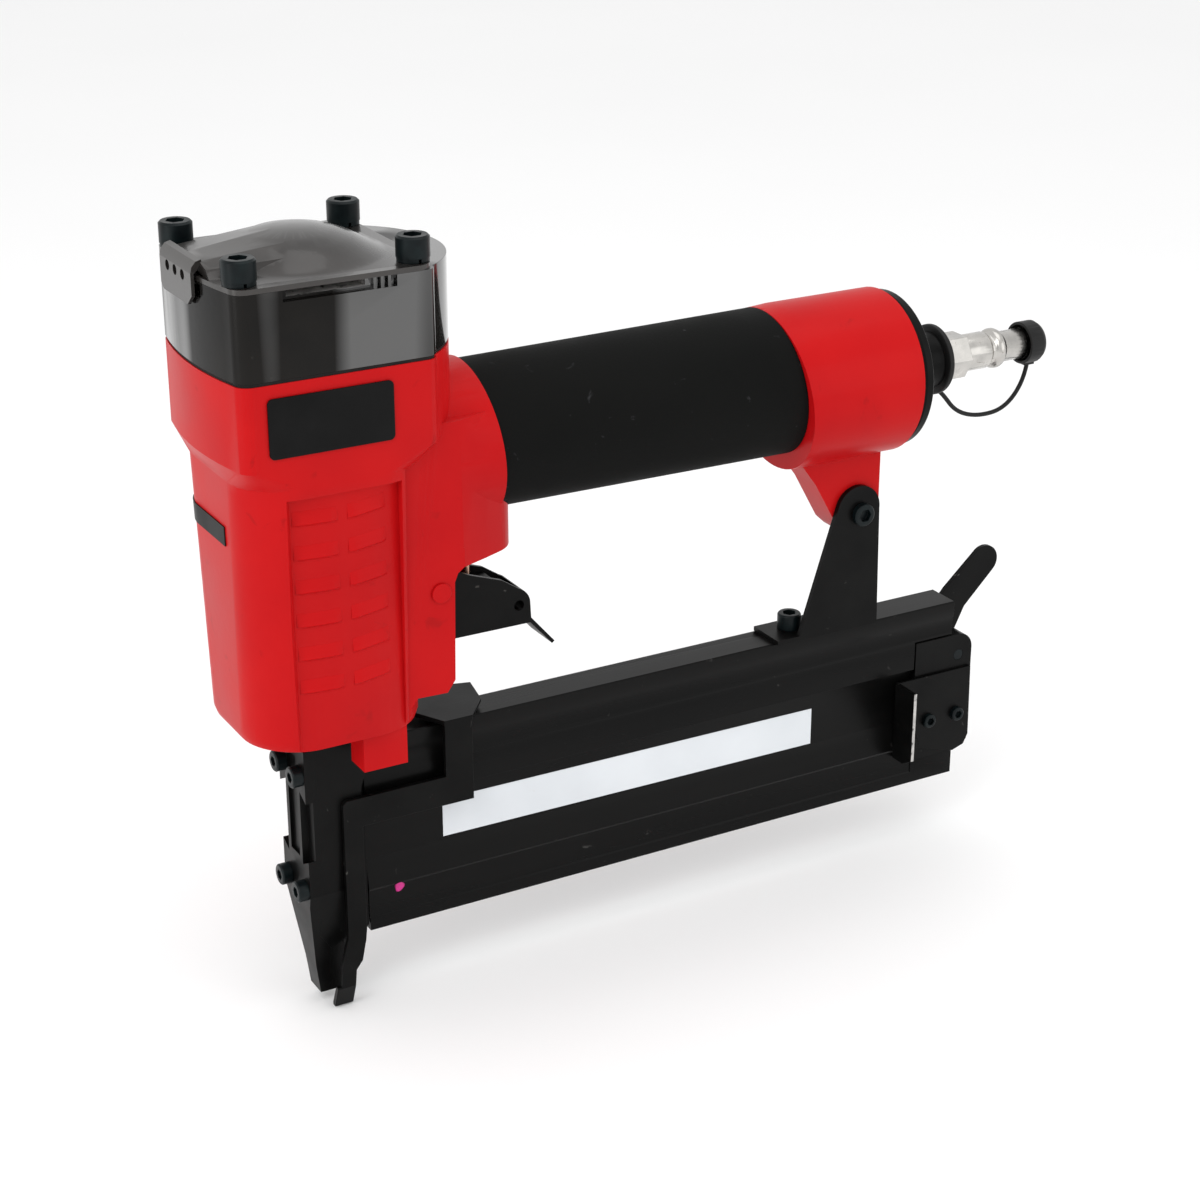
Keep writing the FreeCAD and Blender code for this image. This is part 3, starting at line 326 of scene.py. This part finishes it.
def cleaned(node):
    """A copy of a CAD node's mesh with its flat faces joined up."""
    mesh = bmesh.new()
    mesh.from_mesh(nodes[node].data)
    bmesh.ops.remove_doubles(mesh, verts=mesh.verts, dist=2e-6)
    bmesh.ops.dissolve_limit(mesh, angle_limit=math.radians(0.4), verts=mesh.verts,
                             edges=mesh.edges)
    return mesh


def shaded(data):
    data.shade_smooth()
    data.set_sharp_from_angle(angle=SHARP)


def finished(node, width, segments=2):
    """The node's shape with rounded edges, in the finish of its slot."""
    look = LOOKS["red_paint" if node == "trigger_pin" else slot_of_node[node]]
    piece = made_from(f"{node}_piece", cleaned(node))
    shaded(piece.data)
    bevel = piece.modifiers.new("edges", "BEVEL")
    bevel.width = width * MM
    bevel.segments = segments
    bevel.limit_method = "ANGLE"
    bevel.angle_limit = SHARP
    bevel.harden_normals = True
    piece.data.materials.append(look)
    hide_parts(node)
    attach(piece, body_of_node[node])
    return piece


def repaint(piece, look, low, high):
    """Another finish on the faces whose middles lie in a box given in millimetres."""
    piece.data.materials.append(LOOKS[look])
    for face in piece.data.polygons:
        middle = face.center / MM
        if all(a <= v <= b for a, v, b in zip(low, middle, high)):
            face.material_index = len(piece.data.materials) - 1


EDGES = {
    "housing": 0.8, "cylinder_cap": 0.9, "exhaust_cover": 0.35, "cap_screws": 0.35,
    "cap_washers": 0.15, "brand_plate": 0.2, "grip": 0.5, "end_cap": 0.4, "inlet_bush": 0.4,
    "dust_cap_ring": 0.3, "dust_cap": 0.5, "air_plug": 0.25, "trigger": 0.3,
    "trigger_valve_body": 0.2, "nose_body": 0.35, "nose_front_plate": 0.35, "nose_screws": 0.25,
    "safety_arm": 0.35, "fixed_magazine": 0.25, "sliding_magazine": 0.25,
    "magazine_end_block": 0.5, "end_block_screws": 0.15, "latch_plate": 0.25,
    "latch_lever": 0.3, "latch_pin": 0.2, "rear_bracket": 0.3, "bracket_base_screw": 0.3,
    "bracket_pivot_screw": 0.3, "trigger_pin": 0.3,
}
pieces = {node: finished(node, width) for node, width in EDGES.items()}
# worn outer edge of the finger tab, and a lighter steel finish on the floor inside the air outlet
repaint(pieces["latch_plate"], "worn_steel", (213, -18, 30), (215, -17, 60))
repaint(pieces["cylinder_cap"], "worn_steel", (-14.2, -27.4, 232), (9.5, -2, 236.9))

for node, thing in nodes.items():
    if node in EDGES or node in ("dust_cap_strap", "safety_spring"):
        continue
    thing.data.materials.clear()
    thing.data.materials.append(LOOKS[slot_of_node[node]])
strap.data.materials.append(LOOKS["black_rubber"])

# ---------------------------------------------------------------- springs that show


def helix(name, centre, low, high, mean, wire_radius, turns):
    """Round-wire compression spring about an upright axis."""
    count = int(turns * 24)
    line = [Vector((centre[0] + mean * math.cos(2 * math.pi * turns * i / count),
                    centre[1] + mean * math.sin(2 * math.pi * turns * i / count),
                    low + (high - low) * i / count)) * MM for i in range(count + 1)]
    return tube(name, line, wire_radius * MM, 8)


SPRING_AXIS = (31, 10.2)
safety_spring = helix("safety_return_spring", SPRING_AXIS, 88.9, 103.5, 2, 0.35, 6.5)
safety_spring.data.materials.append(LOOKS["spring_steel"])
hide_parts("safety_spring")
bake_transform(safety_spring)

# ---------------------------------------------------------------- louvres on the housing

housing_mesh = cleaned("housing")
housing_tree = BVHTree.FromBMesh(housing_mesh)
housing_mesh.free()


def on_side(x, z, side):
    """Point of the housing's side surface at this place."""
    return housing_tree.ray_cast(Vector((x, side * 60, z)) * MM, Vector((0, -side, 0)))[0]


def louvre(name, left, right_end, low, slope, side, height=4.6, depth=0.9):
    """Shallow raised slat that follows the side: flush at its top and proud at its foot."""
    mesh = bmesh.new()
    columns, rows = 10, 6
    outer, inner = [], []
    for j in range(rows + 1):
        down = j / rows
        for i in range(columns + 1):
            across = i / columns
            x = left + (right_end - left) * across
            z = low + height * (1 - down) + slope * (x - left)
            hit = on_side(x, z, side)
            fade = min(1, 0.25 + 7 * across, 0.25 + 7 * (1 - across))
            lift = depth * fade * min(1, down * 1.2) * (1 if j < rows else 0.15)
            outer.append(mesh.verts.new(hit + Vector((0, side * (lift + 0.02), 0)) * MM))
            inner.append(mesh.verts.new(hit - Vector((0, side * 0.5, 0)) * MM))
    wide = columns + 1
    for grid, order in ((outer, 1), (inner, -1)):
        for j in range(rows):
            for i in range(columns):
                corners = [grid[j * wide + i], grid[j * wide + i + 1],
                           grid[(j + 1) * wide + i + 1], grid[(j + 1) * wide + i]]
                mesh.faces.new(corners[::order])
    rim = (list(range(wide)) + [j * wide + columns for j in range(1, rows + 1)]
           + [rows * wide + i for i in range(columns - 1, -1, -1)]
           + [j * wide for j in range(rows - 1, 0, -1)])
    for a, b in zip(rim, rim[1:] + rim[:1]):
        mesh.faces.new((outer[a], inner[a], inner[b], outer[b]))
    bmesh.ops.recalc_face_normals(mesh, faces=mesh.faces)
    piece = made_from(name, mesh)
    shaded(piece.data)
    piece.data.materials.append(LOOKS["red_paint"])
    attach(piece, "gun")


LOUVRE_ROWS, LOUVRE_START, LOUVRE_PITCH = 6, 114.9, 10.4

for side, tag in ((-1, "near"), (1, "far")):
    for row in range(LOUVRE_ROWS):
        level = LOUVRE_START + LOUVRE_PITCH * row
        louvre(f"louvre_{tag}_front_{row}", -15.0, -1.8, level, 0.0, side)
        louvre(f"louvre_{tag}_rear_{row}", 1.4, 13.4, level, 0.10, side)

# ---------------------------------------------------------------- dab of paint


def dab(name, centre, radius, body):
    """Small uneven drop of paint on the near face of a piece."""
    mesh = bmesh.new()
    rings = []
    for share, rise in ((1, 0), (0.86, 0.28), (0.5, 0.42)):
        rings.append([mesh.verts.new(Vector((
            centre[0] + radius * share * (1 + 0.12 * math.sin(3 * a + 1)) * math.cos(a),
            centre[1] - rise,
            centre[2] + radius * share * (1 + 0.10 * math.sin(2 * a)) * math.sin(a))) * MM)
            for a in (2 * math.pi * k / 28 for k in range(28))])
    for first, second in zip(rings, rings[1:]):
        for k in range(28):
            mesh.faces.new((first[k], first[(k + 1) % 28], second[(k + 1) % 28], second[k]))
    mesh.faces.new(rings[-1])
    mesh.faces.new(rings[0][::-1])
    bmesh.ops.recalc_face_normals(mesh, faces=mesh.faces)
    piece = made_from(name, mesh)
    piece.data.shade_smooth()
    piece.data.materials.append(LOOKS["paint_mark"])
    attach(piece, body)


dab("paint_dab_magazine", (22.8, -6.12, 31.7), 1.7, "sliding_magazine")

# ---------------------------------------------------------------- stage

floor_mesh = bpy.data.meshes.new("floor")
reach = 6.0
DROP = 0.0005
floor_mesh.from_pydata([(-reach, -reach, 0), (reach, -reach, 0), (reach, reach, 0),
                        (-reach, reach, 0)], [], [(0, 1, 2, 3)])
floor = bpy.data.objects.new("floor", floor_mesh)
floor.location.z = cad_box[0].z - DROP
scene.collection.objects.link(floor)
floor_look = material("floor")
ground = floor_look.node_tree.nodes["Principled BSDF"]
ground.inputs["Roughness"].default_value = 0.9
wire(floor_look, mixed(floor_look, noise(floor_look, 3, 2), (0.92, 0.92, 0.92),
                       (0.95, 0.95, 0.95)), ground.inputs["Base Color"])
floor_mesh.materials.append(floor_look)

world = bpy.data.worlds.new("world")
scene.world = world
world.use_nodes = True
world.node_tree.nodes["Background"].inputs["Color"].default_value = (1, 1, 1, 1)
world.node_tree.nodes["Background"].inputs["Strength"].default_value = 0.95

CENTRE = Vector((0.11, 0, 0.13))


def lamp(name, place, size, power, height=None):
    data = bpy.data.lights.new(name, "AREA")
    data.shape = "RECTANGLE"
    data.size, data.size_y = size, height or size
    data.energy = power
    light = bpy.data.objects.new(name, data)
    light.location = place
    light.rotation_euler = (CENTRE - Vector(place)).to_track_quat("-Z", "Y").to_euler()
    scene.collection.objects.link(light)


lamp("key", (-0.75, -0.55, 0.95), 0.6, 3.5)
lamp("top", (0.25, -0.10, 1.20), 0.9, 2.5)
lamp("side", (0.75, -0.90, 0.45), 0.7, 1.2)
lamp("front", (-0.95, -0.15, 0.25), 0.35, 2, 0.9)

scene.view_settings.view_transform = "Standard"
scene.view_settings.look = "None"
